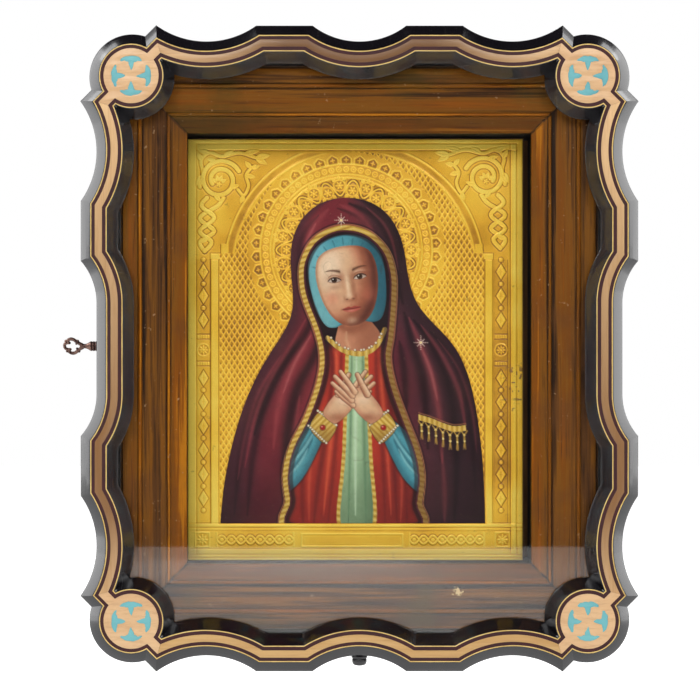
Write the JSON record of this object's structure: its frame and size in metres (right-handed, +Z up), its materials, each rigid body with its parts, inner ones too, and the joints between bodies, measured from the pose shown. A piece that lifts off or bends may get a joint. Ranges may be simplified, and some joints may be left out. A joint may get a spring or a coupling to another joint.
{
  "type": "wall icon case",
  "caption": "Wall kiot: black case with a wavy inlaid, glazed, lockable door over a brown frame and a gilded icon, hung flat by a plate at the back.",
  "frame": {"origin": "middle of the back panel's outer face, which lies against the wall", "axes": "+Z up, -Y towards the viewer through the glass, +X to the viewer's right (hinge side)"},
  "size_m": [0.4696, 0.1063, 0.5204],
  "materials": {
    "lacquer": "polished black lacquer on wood",
    "light_veneer": "light veneer under varnish",
    "dark_veneer": "dark red-brown veneer",
    "pale_veneer": "pale yellow veneer",
    "teal_ground": "teal mastic",
    "glass": "clear",
    "brown_wood": "stained and waxed",
    "black_paint": "matt black paint",
    "case_wood": "satin black stain",
    "bare_wood": "aged bare softwood",
    "gilding": "burnished gold leaf and oil paint on gesso",
    "bronze": "dark patina",
    "iron": "blackened",
    "brass": "dull brass"
  },
  "bodies": {
    "door": {"door_rail_top": "lacquer", "door_rail_bottom": "lacquer", "door_stile_left": "lacquer", "door_stile_right": "lacquer", "glazing_bead_top": "lacquer", "glazing_bead_bottom": "lacquer", "glazing_bead_left": "lacquer", "glazing_bead_right": "lacquer", "bottom_knob": "lacquer", "inlay_band_top": "light_veneer", "inlay_band_bottom": "light_veneer", "inlay_band_left": "light_veneer", "inlay_band_right": "light_veneer", "inlay_disc_top_left": "light_veneer", "inlay_disc_top_right": "light_veneer", "inlay_disc_bottom_left": "light_veneer", "inlay_disc_bottom_right": "light_veneer", "stringing_dark_outer": "dark_veneer", "stringing_dark_inner": "dark_veneer", "stringing_pale_outer": "pale_veneer", "stringing_pale_inner": "pale_veneer", "disc_ground_top_left": "teal_ground", "disc_ground_top_right": "teal_ground", "disc_ground_bottom_left": "teal_ground", "disc_ground_bottom_right": "teal_ground", "glass_pane": "glass", "door_eye": "iron", "hinge_upper_door_leaf": "brass", "hinge_lower_door_leaf": "brass"},
    "case": {"case_top": "case_wood", "case_bottom": "case_wood", "case_left": "case_wood", "case_right": "case_wood", "back_panel": "bare_wood", "icon_board": "bare_wood", "icon_spline_upper": "bare_wood", "icon_spline_lower": "bare_wood", "inner_frame_top": "brown_wood", "inner_frame_bottom": "brown_wood", "inner_frame_left": "brown_wood", "inner_frame_right": "brown_wood", "well_top": "black_paint", "well_bottom": "black_paint", "well_left": "black_paint", "well_right": "black_paint", "gilded_ground": "gilding", "hanging_plate": "iron", "lock_case": "iron", "lock_cover": "iron", "hinge_upper_case_leaf": "brass", "hinge_lower_case_leaf": "brass", "hinge_upper_pin": "brass", "hinge_lower_pin": "brass", "escutcheon": "brass"},
    "bolt": {"lock_bolt": "iron"},
    "key": {"key": "bronze"}
  },
  "joints": [
    {"name": "door_hinge", "type": "hinge", "parent": "case", "child": "door", "pos_m": [0.2118, -0.08415, 0], "axis": [0, 0, 1], "range_deg": [0, 100]},
    {"name": "key_turn", "type": "hinge", "parent": "case", "child": "key", "pos_m": [-0.2, -0.064, 0.002], "axis": [-1, 0, 0], "range_deg": [0, 180]},
    {"name": "bolt_slide", "type": "slide", "parent": "case", "child": "bolt", "axis": [0, 0, 1], "range_m": [0, 0.007]}
  ],
  "couplings": [
    {"joint": "bolt_slide", "follows": "key_turn", "m_per_rad": 0.002228}
  ]
}
